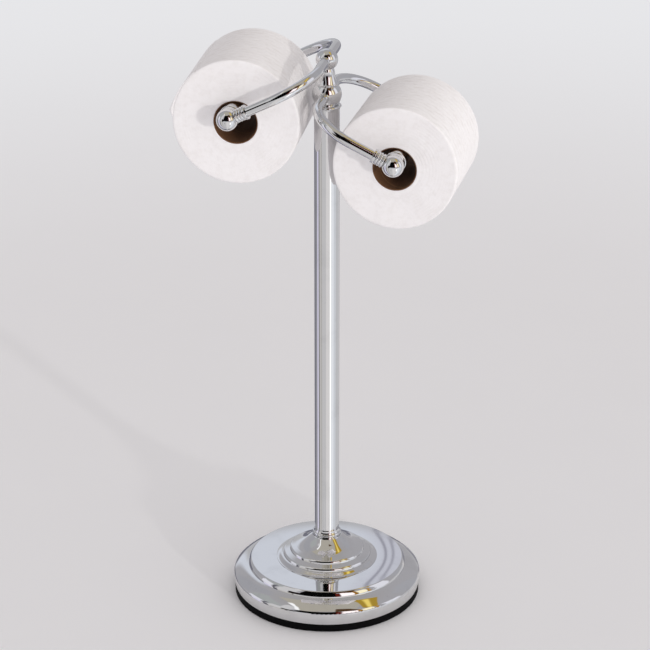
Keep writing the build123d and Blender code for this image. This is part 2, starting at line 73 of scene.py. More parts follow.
# Sizes of a roll that its meshes and its finishes share
ROLL_LENGTH = 102.0 * MM
LAYER_PITCH = 2.9 * MM
SEAM_PITCH = 60.0 * MM

# Shades and a bearing that the floor, the world, the chrome and the camera share
BACKDROP: Shade = (0.905, 0.905, 0.915)
PLATING_SHARE = 0.745
VIEWER_BEARING = 11.7


class Side(Enum):
    """The two pairs of arms: the upper one is on the left, the lower one on the right."""

    LEFT = "left"
    RIGHT = "right"


class End(Enum):
    """The two ends of a pair of arms."""

    FRONT = "front"
    BACK = "back"


def linear(shade: Shade) -> Paint:
    """Turn a display colour into the linear one that the shaders take.

    Args:
        shade: red, green and blue as they show on a screen, from 0 to 1.

    Returns:
        The same colour in linear light, with full alpha.
    """
    toe, slope, offset, power = 0.04045, 12.92, 0.055, 2.4
    channels = [
        part / slope if part <= toe else ((part + offset) / (1 + offset)) ** power
        for part in shade
    ]
    return (*channels, 1.0)


def blend_share(value: float, low: float, high: float) -> float:
    """Smooth rise of a value's share from 0 where it is low to 1 where it is high."""
    share = min(1.0, max(0.0, (value - low) / (high - low)))
    return share * share * (3 - 2 * share)


def spread(low: float, high: float, count: int) -> list[float]:
    """Evenly spaced values from one number up to, but not at, another."""
    return [low + (high - low) * place / count for place in range(count)]


class Signal:
    """A node's output socket, on which Python's arithmetic adds Math nodes."""

    def __init__(self, canvas: "Canvas", socket: bpy.types.NodeSocket) -> None:
        """Keep the socket and the canvas that its node is on."""
        self.canvas = canvas
        self.socket = socket

    def output(self, name: str) -> "Signal":
        """Another output of the same node."""
        return Signal(self.canvas, pick(self.socket.node.outputs, name))

    def __add__(self, other: "Signal | float") -> "Signal":
        """Sum."""
        return self.canvas.math("ADD", self, other)

    def __radd__(self, other: float) -> "Signal":
        """Sum, with the number first."""
        return self.canvas.math("ADD", other, self)

    def __sub__(self, other: "Signal | float") -> "Signal":
        """Difference."""
        return self.canvas.math("SUBTRACT", self, other)

    def __rsub__(self, other: float) -> "Signal":
        """Difference, with the number first."""
        return self.canvas.math("SUBTRACT", other, self)

    def __mul__(self, other: "Signal | float") -> "Signal":
        """Product."""
        return self.canvas.math("MULTIPLY", self, other)

    def __rmul__(self, other: float) -> "Signal":
        """Product, with the number first."""
        return self.canvas.math("MULTIPLY", other, self)

    def __truediv__(self, other: "Signal | float") -> "Signal":
        """Quotient."""
        return self.canvas.math("DIVIDE", self, other)

    def __rtruediv__(self, other: float) -> "Signal":
        """Quotient, with the number first."""
        return self.canvas.math("DIVIDE", other, self)

    def __neg__(self) -> "Signal":
        """The same value with its sign turned."""
        return self.canvas.math("MULTIPLY", self, -1.0)

    def __abs__(self) -> "Signal":
        """The value without its sign."""
        return self.canvas.math("ABSOLUTE", self)


Key = str | int
Value = Signal | float | tuple[float, ...]
Values = dict[Key, Value]


def pick(sockets: Iterable[bpy.types.NodeSocket], name: Key) -> bpy.types.NodeSocket:
    """Find a socket by its identifier, its name or its place.

    Args:
        sockets: a node's inputs or outputs.
        name: the identifier, the shown name, or the place from 0.

    Returns:
        The socket.
    """
    if isinstance(name, int):
        return sockets[name]
    for socket in sockets:
        if socket.identifier == name:
            return socket
    return sockets[name]


class Canvas:
    """A node tree that is filled node by node."""

    def __init__(self, tree: bpy.types.NodeTree) -> None:
        """Start from an empty tree."""
        tree.nodes.clear()
        self.tree = tree

    def place(
        self, kind: str, settings: dict | None = None, values: Values | None = None
    ) -> bpy.types.Node:
        """Add one node of any kind.

        Args:
            kind: the node's type.
            settings: its own settings, set first.
            values: the value or the link of each socket, by identifier, name or place.

        Returns:
            The node.
        """
        made = self.tree.nodes.new(kind)
        for name, value in (settings or {}).items():
            setattr(made, name, value)
        for name, value in (values or {}).items():
            socket = pick(made.inputs, name)
            if isinstance(value, Signal):
                self.tree.links.new(value.socket, socket)
            else:
                socket.default_value = value
        return made

    def node(
        self, kind: str, settings: dict | None = None, values: Values | None = None, output: Key = 0
    ) -> Signal:
        """Add one node and give one of its outputs. The arguments are those of place."""
        return Signal(self, pick(self.place(kind, settings, values).outputs, output))

    def math(self, operation: str, *values: Signal | float) -> Signal:
        """One Math node on up to three values."""
        return self.node("ShaderNodeMath", {"operation": operation}, dict(enumerate(values)))

    def step(self, value: Signal, low: float, high: float) -> Signal:
        """Smooth rise from 0 where a value is low to 1 where it is high, or the other way."""
        values = {"Value": value, "From Min": low, "From Max": high}
        return self.node("ShaderNodeMapRange", {"interpolation_type": "SMOOTHSTEP"}, values)

    def band(self, value: Signal, span: Span, softness: float) -> Signal:
        """A plateau of 1 between two values, with soft sides.

        Args:
            value: the value that is looked up.
            span: where the plateau starts and ends.
            softness: the width of each side.

        Returns:
            The share from 0 to 1.
        """
        half = softness / 2
        rise = self.step(value, span[0] - half, span[0] + half)
        fall = self.step(value, span[1] - half, span[1] + half)
        return rise - fall

    def mix(self, share: Signal | float, first: Value, second: Value) -> Signal:
        """Mix two colours, given as signals or as linear colours."""
        values = {"Factor_Float": share, "A_Color": first, "B_Color": second}
        return self.node("ShaderNodeMix", {"data_type": "RGBA"}, values, "Result_Color")

    def choose(self, share: Signal, first: Signal, second: Signal) -> Signal:
        """Mix two surfaces or two backgrounds."""
        return self.node("ShaderNodeMixShader", None, {0: share, 1: first, 2: second})

    def stretched(self, place: Signal, stretch: Triple) -> Signal:
        """A place multiplied by one number for each axis."""
        return self.node("ShaderNodeVectorMath", {"operation": "MULTIPLY"}, {0: place, 1: stretch})

    def bump(self, height: Signal, distance: float) -> Signal:
        """The normal of a surface with small relief, whose height of 1 is a distance in metres."""
        return self.node("ShaderNodeBump", None, {"Height": height, "Distance": distance})

    def surface(self, values: Values) -> Signal:
        """A surface with these values and links, by the names of its sockets."""
        return self.node("ShaderNodeBsdfPrincipled", None, values)

    def object_place(self) -> Signal:
        """The place on the piece, in metres in its own frame."""
        return self.node("ShaderNodeTexCoord", output="Object")

    def split(self, place: Signal) -> tuple[Signal, Signal, Signal]:
        """The three parts of a place or a direction."""
        first = self.node("ShaderNodeSeparateXYZ", None, {0: place}, "X")
        return first, first.output("Y"), first.output("Z")

    def reach(self, across: Signal, deep: Signal) -> Signal:
        """Distance from the origin of a flat place, from its two parts."""
        return self.math("SQRT", across * across + deep * deep)


@dataclass(frozen=True)
class Cloud:
    """Cloudy noise, as it is or cut to soft patches.

    Its features are about one over scale metres. With a span, a patch begins at the first
    value of the noise and is full at the second. The share weakens it.
    """

    scale: float
    detail: float = 2.0
    rough: float = 0.5
    span: Span | None = None
    share: float = 1.0

    def on(self, canvas: Canvas, place: Signal) -> Signal:
        """Add the noise to a node tree.

        Args:
            canvas: the nodes that it joins.
            place: the place that it is looked up at.

        Returns:
            The noise or the patches, from 0 to the share.
        """
        values = {"Scale": self.scale, "Detail": self.detail, "Roughness": self.rough}
        cloud = canvas.node("ShaderNodeTexNoise", None, {"Vector": place, **values}, "Fac")
        if self.span is not None:
            cloud = canvas.step(cloud, *self.span)
        return cloud if self.share == 1.0 else cloud * self.share


class Finish(ABC):
    """A procedural material, made once and shared by the pieces that take it."""

    name: str

    def material(self) -> bpy.types.Material:
        """Make the material, or find it if it was made before.

        Returns:
            The material, which keeps the finish's name.
        """
        found = bpy.data.materials.get(self.name)
        if found is not None and found.get("finish") == self.name:
            return found
        made = bpy.data.materials.new(self.name)
        made["finish"] = self.name
        made.use_nodes = True
        canvas = Canvas(made.node_tree)
        canvas.place("ShaderNodeOutputMaterial", None, {"Surface": self.shader(canvas)})
        return made

    @abstractmethod
    def shader(self, canvas: Canvas) -> Signal:
        """Add the finish's nodes.

        Args:
            canvas: the material's nodes.

        Returns:
            The surface.
        """


def changed(plain: float, *changes: tuple[Signal, float]) -> Signal | float:
    """A number that signals change.

    Args:
        plain: the number where all signals are 0.
        changes: signals, each with what it adds where it is 1.

    Returns:
        The changed value, or the plain number where nothing is added.
    """
    value = plain
    for signal, amount in changes:
        if amount:
            value = value + signal * amount
    return value


@dataclass(frozen=True)
class WornFinish(Finish):
    """A material with a fine grain in relief and soft worn patches of another shade and gloss.

    Where the grain is high it can have a shade of its own. The roughness and the metal have a
    plain value and what full wear and a high grain add to it.
    """

    name: str
    shade: Paint
    worn_shade: Paint
    wear: Cloud
    grain_height: float
    roughness: float
    grain: Cloud = Cloud(900.0, 3.0)
    high_shade: Paint | None = None
    worn_roughness: float = 0.0
    grain_roughness: float = 0.0
    metallic: float = 0.0
    worn_metallic: float = 0.0
    specular: float = 0.5

    def worn(self, canvas: Canvas, place: Signal) -> Signal:
        """How worn the surface is at a place, from 0 to 1."""
        return self.wear.on(canvas, place)

    def relief(self, canvas: Canvas, place: Signal) -> Signal:
        """How high the grain is at a place."""
        return self.grain.on(canvas, place)

    def shader(self, canvas: Canvas) -> Signal:
        """Mix the plain and the worn surface over the relief.

        Args:
            canvas: the material's nodes.

        Returns:
            The surface.
        """
        place = canvas.object_place()
        wear = self.worn(canvas, place)
        grain = self.relief(canvas, place)
        paint = canvas.mix(grain, self.shade, self.high_shade) if self.high_shade else self.shade
        rough = changed(
            self.roughness, (wear, self.worn_roughness), (grain, self.grain_roughness)
        )
        return canvas.surface({
            "Base Color": canvas.mix(wear, paint, self.worn_shade),
            "Metallic": changed(self.metallic, (wear, self.worn_metallic)),
            "Roughness": rough,
            "Specular IOR Level": self.specular,
            "Normal": canvas.bump(grain, self.grain_height),
        })


@dataclass(frozen=True)
class ChromePlate(WornFinish):
    """Polished chrome plate, with faint ripples, a thin haze and a few wiped smears."""

    name: str = "chrome_plate"
    shade: Paint = (PLATING_SHARE, PLATING_SHARE, 0.75, 1.0)
    worn_shade: Paint = (0.70, 0.70, 0.705, 1.0)
    roughness: float = 0.035
    worn_roughness: float = 0.05
    metallic: float = 1.0
    wear: Cloud = Cloud(45.0, 4.0, span=(0.48, 0.72))
    smears: Cloud = Cloud(260.0, 3.0, span=(0.58, 0.78), share=0.6)
    smear_stretch: Triple = (1.0, 1.0, 0.25)
    grain: Cloud = Cloud(16.0, 1.0)
    grain_height: float = 0.12 * MM

    def worn(self, canvas: Canvas, place: Signal) -> Signal:
        """Haze, or a smear where that is stronger."""
        smears = self.smears.on(canvas, canvas.stretched(place, self.smear_stretch))
        return canvas.math("MAXIMUM", self.wear.on(canvas, place), smears)


@dataclass(frozen=True)
class TurnedSteel(WornFinish):
    """Plain steel with a little tarnish and the fine rings that a lathe leaves."""

    name: str = "turned_steel"
    shade: Paint = linear((0.66, 0.66, 0.67))
    worn_shade: Paint = linear((0.50, 0.47, 0.44))
    roughness: float = 0.28
    worn_roughness: float = 0.2
    metallic: float = 1.0
    wear: Cloud = Cloud(90.0, 4.0, span=(0.5, 0.75))
    ring_pitch: float = 0.6 * MM
    grain_height: float = 0.02 * MM

    def relief(self, canvas: Canvas, place: Signal) -> Signal:
        """Rings along the piece's own height, in place of a grain."""
        return canvas.math("SINE", canvas.split(place)[-1] * (TURN / self.ring_pitch))


@dataclass(frozen=True)
class CastIron(WornFinish):
    """Rough grey iron as it comes out of a sand mould, with a little rust."""

    name: str = "cast_iron"
    shade: Paint = linear((0.17, 0.17, 0.17))
    high_shade: Paint = linear((0.30, 0.29, 0.28))
    worn_shade: Paint = linear((0.36, 0.22, 0.14))
    roughness: float = 0.55
    grain_roughness: float = 0.3
    metallic: float = 0.7
    worn_metallic: float = -0.6
    wear: Cloud = Cloud(60.0, 4.0, span=(0.58, 0.72), share=0.6)
    grain_height: float = 0.2 * MM


@dataclass(frozen=True)
class MouldedRubber(WornFinish):
    """Black rubber with a satin skin, fine grain and a little dust."""

    name: str = "moulded_rubber"
    shade: Paint = linear((0.02, 0.02, 0.025))
    worn_shade: Paint = linear((0.07, 0.07, 0.08))
    roughness: float = 0.65
    grain_roughness: float = 0.2
    specular: float = 0.1
    wear: Cloud = Cloud(130.0, 5.0, span=(0.52, 0.8), share=0.5)
    grain: Cloud = Cloud(1400.0)
    grain_height: float = 0.03 * MM


@dataclass(frozen=True)
class PressedLines:
    """Wavy, broken lines pressed into the paper, parallel to the ends of the roll.

    Each sway is a size and a whole number of waves round the roll. The press of a line swings
    about its mean, so that the line breaks off here and there.
    """

    pitch: float = 7.4 * MM
    count: int = 13
    half_width: float = 2.3 * MM
    depth: float = 0.26 * MM
    sways: tuple[tuple[float, int], ...] = ((0.9 * MM, 11), (0.55 * MM, 37))
    breaks: int = 23
    break_turn: float = 2.4
    press_mean: float = 0.62
    press_swing: float = 0.38

    def centres(self) -> list[float]:
        """Places of the lines along the roll, before they sway."""
        first = -self.pitch * (self.count - 1) / 2
        return [first + self.pitch * row for row in range(self.count)]

    def sway(self, angle: float) -> float:
        """How far the lines stray along the roll at an angle round it."""
        return sum(size * math.sin(angle * waves) for size, waves in self.sways)

    def depth_at(self, height: float, angle: float) -> float:
        """Depth of the lines at one place.

        Args:
            height: the place along the roll, before the lines sway.
            angle: the angle round the roll.

        Returns:
            The depth in metres.
        """
        row = (height - self.centres()[0]) / self.pitch
        nearest = min(self.count - 1, max(0, round(row)))
        off = (row - nearest) * self.pitch / self.half_width
        swing = math.sin(angle * self.breaks + nearest * self.break_turn)
        press = self.press_mean + self.press_swing * swing
        return self.depth * press * max(0.0, 1 - off * off)

    def mask(self, canvas: Canvas, bearing: Signal, along: Signal) -> Signal:
        """How near a place on the wall is to a line's middle.

        Args:
            canvas: the material's nodes.
            bearing: the angle round the roll.
            along: the place along the roll.

        Returns:
            The share from 0 to 1.
        """
        place = along
        for size, waves in self.sways:
            place = place - canvas.math("SINE", bearing * float(waves)) * size
        row = place / self.pitch + self.count / 2
        off = abs(canvas.math("FRACT", row) - 0.5) * self.pitch
        turned = bearing * float(self.breaks) + canvas.math("FLOOR", row) * self.break_turn
        press = canvas.math("SINE", turned) * self.press_swing + self.press_mean
        return canvas.step(off, self.half_width, 0.0) * press


@dataclass(frozen=True)
class Tissue(Finish):
    """Soft white tissue: pressed lines on the wall with painted shade in them, fibres all over, and
    rings on the end faces in relief with painted shade between the layers.
    """

    name: str = "wound_tissue"
    bright: Shade = (0.965, 0.957, 0.962)
    shaded: Shade = (0.935, 0.922, 0.924)
    # Painted shade in the gaps between the wound layers on the end faces
    painted_layer_gap_shade: Shade = (0.90, 0.885, 0.885)
    # Painted shade in the pressed lines on the wall; the mottle takes the same colour as a random tone
    painted_groove_shade_and_mottle: Shade = (0.86, 0.84, 0.83)
    groove_shade_share: float = 0.42
    lines: PressedLines = PressedLines()
    groove_shade_patches: Cloud = Cloud(75.0, span=(0.3, 0.62))
    wall_from: Span = (1.5 * MM, 4.0 * MM)
    painted_ring_shade_share: float = 0.3
    ring_span: Span = (0.1, 1.0)
    ring_patches: Cloud = Cloud(45.0, span=(0.46, 0.72))
    # The rings, as painted shade and as relief, are strongest on one side of each face
    ring_least_share: float = 0.2
    ring_lean_share: float = 0.75
    ring_lean_reach: float = 30.0 * MM
    face_from: Span = (3.5 * MM, 1.0 * MM)
    wander: Cloud = Cloud(45.0, 3.0)
    wander_turns: float = 1.6
    mottle: Cloud = Cloud(210.0, span=(0.4, 0.8), share=0.22)
    fibre: Cloud = Cloud(1500.0, 3.0, 0.65)
    fluff: Cloud = Cloud(380.0, 3.0)
    relief_height: float = 0.22 * MM
    fluff_relief_share: float = 0.6
    fibre_relief_share: float = 0.4
    ring_relief_share: float = 0.3
    roughness: float = 0.86
    fibre_roughness: float = 0.12
    specular: float = 0.2
    sheen: float = 0.12
    sheen_roughness: float = 0.6

    def shader(self, canvas: Canvas) -> Signal:
        """Matt white with fibre relief, soft patches, and painted shade in the pressed lines and along
        the edges of the layers.

        Args:
            canvas: the material's nodes.

        Returns:
            The surface.
        """
        place = canvas.object_place()
        across, up, along = canvas.split(place)
        bearing = canvas.math("ARCTAN2", up, across)
        from_middle = abs(along)
        wander = self.wander.on(canvas, place)
        turns = canvas.reach(across, up) / LAYER_PITCH + bearing / TURN
        turns = turns + wander * self.wander_turns
        rings = canvas.step(canvas.math("SINE", turns * TURN), *self.ring_span)
        lean = canvas.step(across, self.ring_lean_reach, -self.ring_lean_reach)
        lean = lean * self.ring_lean_share + self.ring_least_share
        face, wall = (
            canvas.step(from_middle, ROLL_LENGTH / 2 - start, ROLL_LENGTH / 2 - full)
            for start, full in (self.face_from, self.wall_from)
        )
        # Painted shade and sunk relief along the edges of the layers
        layer_edge = rings * face * self.ring_patches.on(canvas, place) * lean
        # Painted shade in the pressed lines, in soft patches
        pressed = self.lines.mask(canvas, bearing, along) * wall
        pressed = pressed * self.groove_shade_patches.on(canvas, place) * self.groove_shade_share
        fibre = self.fibre.on(canvas, place)
        fluff = self.fluff.on(canvas, place)
        groove_shade_and_mottle_paint = linear(self.painted_groove_shade_and_mottle)
        paper = canvas.mix(wander, linear(self.bright), linear(self.shaded))
        paper = canvas.mix(self.mottle.on(canvas, place), paper, groove_shade_and_mottle_paint)
        paper = canvas.mix(pressed, paper, groove_shade_and_mottle_paint)
        paper = canvas.mix(layer_edge * self.painted_ring_shade_share, paper, linear(self.painted_layer_gap_shade))
        relief = fluff * self.fluff_relief_share + fibre * self.fibre_relief_share
        relief = relief - layer_edge * self.ring_relief_share
        return canvas.surface({
            "Base Color": paper,
            "Roughness": self.roughness + fibre * self.fibre_roughness,
            "Specular IOR Level": self.specular,
            "Sheen Weight": self.sheen,
            "Sheen Roughness": self.sheen_roughness,
            "Normal": canvas.bump(relief, self.relief_height),
        })


@dataclass(frozen=True)
class CoreBoard(Finish):
    """Brown recycled board, wound as a spiral strip with a visible seam.

    The seam's share is the part of a turn at which it crosses the middle of the core.
    """

    name: str
    seam_share: float
    board: Shade = (0.52, 0.37, 0.25)
    flecked: Shade = (0.64, 0.49, 0.34)
    dark: Shade = (0.34, 0.22, 0.14)
    # Painted highlight of the lit edge of the seam
    painted_seam_highlight: Shade = (0.78, 0.62, 0.42)
    seam_span: Span = (0.006, 0.016)
    seam_softness: float = 0.01
    seam_highlight_strength: float = 0.4
    fibre: Cloud = Cloud(520.0, 4.0, 0.6)
    fibre_stretch: Triple = (1.0, 1.0, 3.0)
    fibre_height: float = 0.15 * MM
    fleck: Cloud = Cloud(364.0, 3.0, span=(0.6, 0.75), share=0.5)
    roughness: float = 0.8
    fibre_roughness: float = 0.15

    def shader(self, canvas: Canvas) -> Signal:
        """Matt brown with fibres and flecks, and a painted highlight along the seam's edge.

        Args:
            canvas: the material's nodes.

        Returns:
            The surface.
        """
        place = canvas.object_place()
        across, up, along = canvas.split(place)
        turns = canvas.math("ARCTAN2", up, across) / TURN - along / SEAM_PITCH
        wound = canvas.math("FRACT", turns - self.seam_share)
        # Painted highlight along the edge of the seam
        seam = canvas.band(wound, self.seam_span, self.seam_softness) * self.seam_highlight_strength
        fibre = self.fibre.on(canvas, canvas.stretched(place, self.fibre_stretch))
        shade = canvas.mix(fibre, linear(self.dark), linear(self.board))
        shade = canvas.mix(self.fleck.on(canvas, place), shade, linear(self.flecked))
        return canvas.surface({
            "Base Color": canvas.mix(seam, shade, linear(self.painted_seam_highlight)),
            "Roughness": self.roughness + fibre * self.fibre_roughness,
            "Normal": canvas.bump(fibre, self.fibre_height),
        })


@dataclass(frozen=True)
class PaleFloor(Finish):
    """Plain pale studio floor that melts into the backdrop's shade further out."""

    name: str = "pale_floor"
    shade: Shade = (0.965, 0.965, 0.975)
    worn_shade: Shade = (0.935, 0.935, 0.945)
    wear: Cloud = Cloud(6.0, share=0.3)
    roughness: float = 0.75
    specular: float = 0.1
    fade: Span = (0.7, 2.2)
    mirror_fade: Span = (0.105, 0.15)

    def shader(self, canvas: Canvas) -> Signal:
        """Matt floor. Far out the camera sees the backdrop's shade, and other rays clear air.

        Args:
            canvas: the material's nodes.

        Returns:
            The surface.
        """
        place = canvas.object_place()
        across, deep, _ = canvas.split(place)
        reach = canvas.reach(across, deep)
        glossy_ray = canvas.node("ShaderNodeLightPath", output="Is Glossy Ray")
        far = canvas.step(reach, *self.fade)
        near = canvas.step(reach, *self.mirror_fade)
        clear = canvas.math("MAXIMUM", far, near * glossy_ray)
        wear = self.wear.on(canvas, place)
        floor = canvas.surface({
            "Base Color": canvas.mix(wear, linear(self.shade), linear(self.worn_shade)),
            "Roughness": self.roughness,
            "Specular IOR Level": self.specular,
        })
        air = canvas.node("ShaderNodeBsdfTransparent")
        backdrop = canvas.node("ShaderNodeEmission", None, {"Color": linear(BACKDROP)})
        beyond = canvas.choose(glossy_ray.output("Is Camera Ray"), air, backdrop)
        return canvas.choose(clear, floor, beyond)


@dataclass(frozen=True)
class Panel:
    """An even patch of the room that the chrome mirrors, over a bearing and a height."""

    shade: Shade
    bearing: Span
    height: Span
    softness: float = 2.0
    slant: float = 0.0
    glow: float = 1.0

    def share(self, canvas: Canvas, bearing: Signal, height: Signal) -> Signal:
        """How much of a direction's light comes from the patch.

        Args:
            canvas: the world's nodes.
            bearing: the direction's bearing.
            height: the direction's height.

        Returns:
            The share from 0 to 1.
        """
        turned = bearing - height * self.slant if self.slant else bearing
        share = canvas.band(turned, self.bearing, self.softness)
        return share * canvas.band(height, self.height, self.softness)

    def light(self) -> Paint:
        """The light of the patch."""
        return mirrored(self.shade, self.glow)


def mirrored(shade: Shade, glow: float = 1.0) -> Paint:
    """The light that shows as this shade once the plating has taken its share."""
    red, green, blue, alpha = linear(shade)
    return (*(part * glow / PLATING_SHARE for part in (red, green, blue)), alpha)


# Heights that several low panels share
BELOW: Span = (-90.0, -3.0)
TILE_SEAM: Span = (-36.0, -27.0)


@dataclass(frozen=True)
class Room:
    """The room round the holder, as the chrome mirrors it.

    Bearings are in degrees from the front, positive to the right, and heights in degrees
    above level. Overhead, the spans are shares of the direction to the right and to the
    back, as turned to the viewer's bearing. Every shade is the one that shows in the chrome.
    """

    walls: Shade = (0.62, 0.615, 0.63)
    ceiling: Shade = (0.60, 0.59, 0.585)
    floor_light: Shade = (0.78, 0.77, 0.77)
    ceiling_from: Span = (40.0, 80.0)
    floor_from: Span = (2.0, -6.0)
    overhead_from: Span = (0.43, 0.47)

    upper: tuple[Panel, ...] = (
        Panel((0.77, 0.785, 0.82), (-180.0, -140.0), (-2.0, 44.0), 8.0),
        Panel((0.73, 0.735, 0.775), (-182.0, -170.5), (-2.0, 50.0), 3.0),
        Panel((0.67, 0.67, 0.68), (-182.0, -150.0), (-2.0, 23.5), 6.0),
        Panel((0.57, 0.57, 0.61), (-171.7, -171.3), (8.0, 60.0), 0.3),
        Panel((0.60, 0.60, 0.64), (-172.8, -172.4), (8.0, 60.0), 0.3),
        Panel((0.60, 0.60, 0.62), (-128.0, -104.0), (0.0, 55.0), 8.0),
        Panel((0.62, 0.63, 0.63), (-100.0, -47.0), (24.0, 52.0), 4.0),
        Panel((0.84, 0.84, 0.87), (-92.0, -72.0), (-2.0, 24.0), 3.0),
        Panel((0.36, 0.36, 0.39), (-70.0, -66.0), (-2.0, 30.0), 2.0),
        Panel((0.76, 0.755, 0.76), (-62.0, -34.0), (-2.0, 60.0), 3.0),
        Panel((0.10, 0.07, 0.06), (-44.0, -26.0), (-4.0, 19.0), 3.0),
        Panel((0.02, 0.02, 0.02), (-28.0, 27.0), (4.0, 62.0), 2.0),
        Panel((0.36, 0.12, 0.08), (24.0, 31.0), (4.0, 40.0), 2.0),
        Panel((0.97, 0.92, 0.92), (32.0, 51.0), (8.0, 42.0), 1.5, glow=1.2),
        Panel((0.58, 0.41, 0.11), (51.0, 56.0), (3.0, 44.0), 1.5),
        Panel((0.98, 0.94, 0.80), (57.0, 71.0), (6.0, 36.0), 2.0),
        Panel((0.66, 0.50, 0.16), (73.0, 78.0), (3.0, 36.0), 2.0),
        Panel((0.85, 0.85, 0.88), (84.0, 108.0), (-2.0, 40.0), 4.0),
        Panel((0.62, 0.62, 0.64), (124.0, 148.0), (-2.0, 45.0), 8.0),
    )
    overhead: tuple[Panel, ...] = (
        Panel((0.65, 0.63, 0.59), (-0.42, 0.41), (-0.44, 0.27), 0.03),
        Panel((0.96, 0.96, 0.96), (-0.44, -0.385), (-0.38, 0.0), 0.03),
        Panel((0.30, 0.22, 0.145), (0.12, 0.52), (-0.68, -0.33), 0.03),
        Panel((0.63, 0.52, 0.20), (0.34, 0.60), (-0.26, 0.24), 0.02, slant=-0.55),
        Panel((0.90, 0.80, 0.42), (0.42, 0.49), (-0.22, 0.20), 0.05, slant=-0.55),
    )
    lower: tuple[Panel, ...] = (
        Panel((0.41, 0.41, 0.45), (-180.0, -117.0), BELOW, 6.0),
        Panel((0.54, 0.54, 0.56), (-117.0, -88.0), BELOW, 3.0),
        Panel((0.80, 0.785, 0.865), (-88.0, -72.0), BELOW, 3.0),
        Panel((0.28, 0.28, 0.31), (-69.0, -61.0), BELOW, 2.0),
        Panel((0.71, 0.70, 0.69), (-60.0, -37.0), BELOW, 3.0),
        Panel((0.52, 0.51, 0.51), (-38.0, -35.0), BELOW, 2.0),
        Panel((0.73, 0.725, 0.73), (-34.0, 4.0), BELOW, 5.0),
        Panel((0.81, 0.80, 0.80), (4.0, 36.0), BELOW, 4.0),
        Panel((1.0, 1.0, 1.0), (39.0, 51.0), (-34.0, -12.0), 3.0, glow=1.2),
        Panel((0.86, 0.87, 0.89), (53.0, 78.0), BELOW, 4.0),
        Panel((0.78, 0.79, 0.81), (78.0, 102.0), BELOW, 4.0),
        Panel((0.72, 0.72, 0.73), (102.0, 150.0), BELOW, 8.0),
        Panel((0.50, 0.50, 0.53), (158.0, 180.0), BELOW, 6.0),
        Panel((0.60, 0.60, 0.62), (-21.5, -20.0), TILE_SEAM, 0.8),
        Panel((0.60, 0.60, 0.62), (-2.0, -0.5), TILE_SEAM, 0.8),
        Panel((0.62, 0.62, 0.64), (34.0, 36.0), TILE_SEAM, 0.8),
        Panel((0.64, 0.64, 0.66), (73.5, 75.5), TILE_SEAM, 1.0),
        Panel((0.64, 0.64, 0.66), (94.5, 96.5), TILE_SEAM, 1.0),
    )

    def paint(self, canvas: Canvas, direction: Signal) -> Signal:
        """Paint the room over all directions.

        Args:
            canvas: the world's nodes.
            direction: the direction that is looked along.

        Returns:
            The room's light in that direction.
        """
        across, deep, up = canvas.split(direction)
        bearing = canvas.math("ARCTAN2", across, -deep) * math.degrees(1)
        height = canvas.math("ARCSINE", up) * math.degrees(1)
        rising = canvas.step(height, *self.ceiling_from)
        sinking = canvas.step(height, *self.floor_from)
        colour = canvas.mix(rising, mirrored(self.walls), mirrored(self.ceiling))
        colour = canvas.mix(sinking, colour, mirrored(self.floor_light))
        for panel in (*self.lower, *self.upper):
            colour = canvas.mix(panel.share(canvas, bearing, height), colour, panel.light())
        turn = math.radians(VIEWER_BEARING)
        aside = across * math.cos(turn) + deep * math.sin(turn)
        ahead = deep * math.cos(turn) - across * math.sin(turn)
        above = canvas.step(up, *self.overhead_from)
        for panel in self.overhead:
            colour = canvas.mix(panel.share(canvas, aside, ahead) * above, colour, panel.light())
        return colour


@dataclass(frozen=True)
class SoftLight:
    """The even light on the holder: warm and dimmer from above, bright from below and right."""

    above_left: Shade = (0.79, 0.775, 0.765)
    above_right: Shade = (0.875, 0.86, 0.855)
    left: Shade = (0.82, 0.815, 0.84)
    right: Shade = (1.0, 0.995, 1.0)
    below: Shade = (0.985, 0.98, 0.99)
    above_from: Span = (0.05, 0.8)
    below_from: Span = (0.0, -0.5)
    strength: float = 1.01

    def paint(self, canvas: Canvas, direction: Signal) -> Signal:
        """Paint the light over all directions.

        Args:
            canvas: the world's nodes.
            direction: the direction that the light comes from.

        Returns:
            The light's colour in that direction.
        """
        across, _, up = canvas.split(direction)
        side = across * 0.5 + 0.5
        level = canvas.mix(side, linear(self.left), linear(self.right))
        above = canvas.mix(side, linear(self.above_left), linear(self.above_right))
        level = canvas.mix(canvas.step(up, *self.above_from), level, above)
        return canvas.mix(canvas.step(up, *self.below_from), level, linear(self.below))


def towards(bearing: float, height: float) -> Vector:
    """Find the way from the holder to something that stands round it.

    Args:
        bearing: degrees from the front, positive to the right.
        height: degrees above level.

    Returns:
        The unit vector.
    """
    turned = math.radians(bearing)
    raised = math.radians(height)
    level = math.cos(raised)
    return Vector((math.sin(turned) * level, -math.cos(turned) * level, math.sin(raised)))


def add_object(name: str, data: bpy.types.ID) -> bpy.types.Object:
    """Put an object in the scene.

    Args:
        name: the object's name.
        data: its mesh, lamp or camera.

    Returns:
        The object.
    """
    made = bpy.data.objects.new(name, data)
    bpy.context.scene.collection.objects.link(made)
    return made


@dataclass(frozen=True)
class Sun:
    """A distant lamp that the chrome doesn't mirror.

    It stands at a bearing and a height in degrees, as the room's panels do. Its size is how
    wide it looks from the holder, in degrees.
    """

    name: str
    bearing: float
    height: float
    size: float
    strength: float
    shade: Shade = (1.0, 0.99, 0.97)

    def hang(self) -> None:
        """Add the lamp to the scene."""
        lamp = bpy.data.lights.new(self.name, "SUN")
        lamp.energy = self.strength
        lamp.angle = math.radians(self.size)
        lamp.color = linear(self.shade)[:3]
        holder = add_object(self.name, lamp)
        holder.rotation_euler = towards(self.bearing, self.height).to_track_quat("Z", "Y").to_euler()
        holder.visible_glossy = False
        log.info("%s hung", self.name)


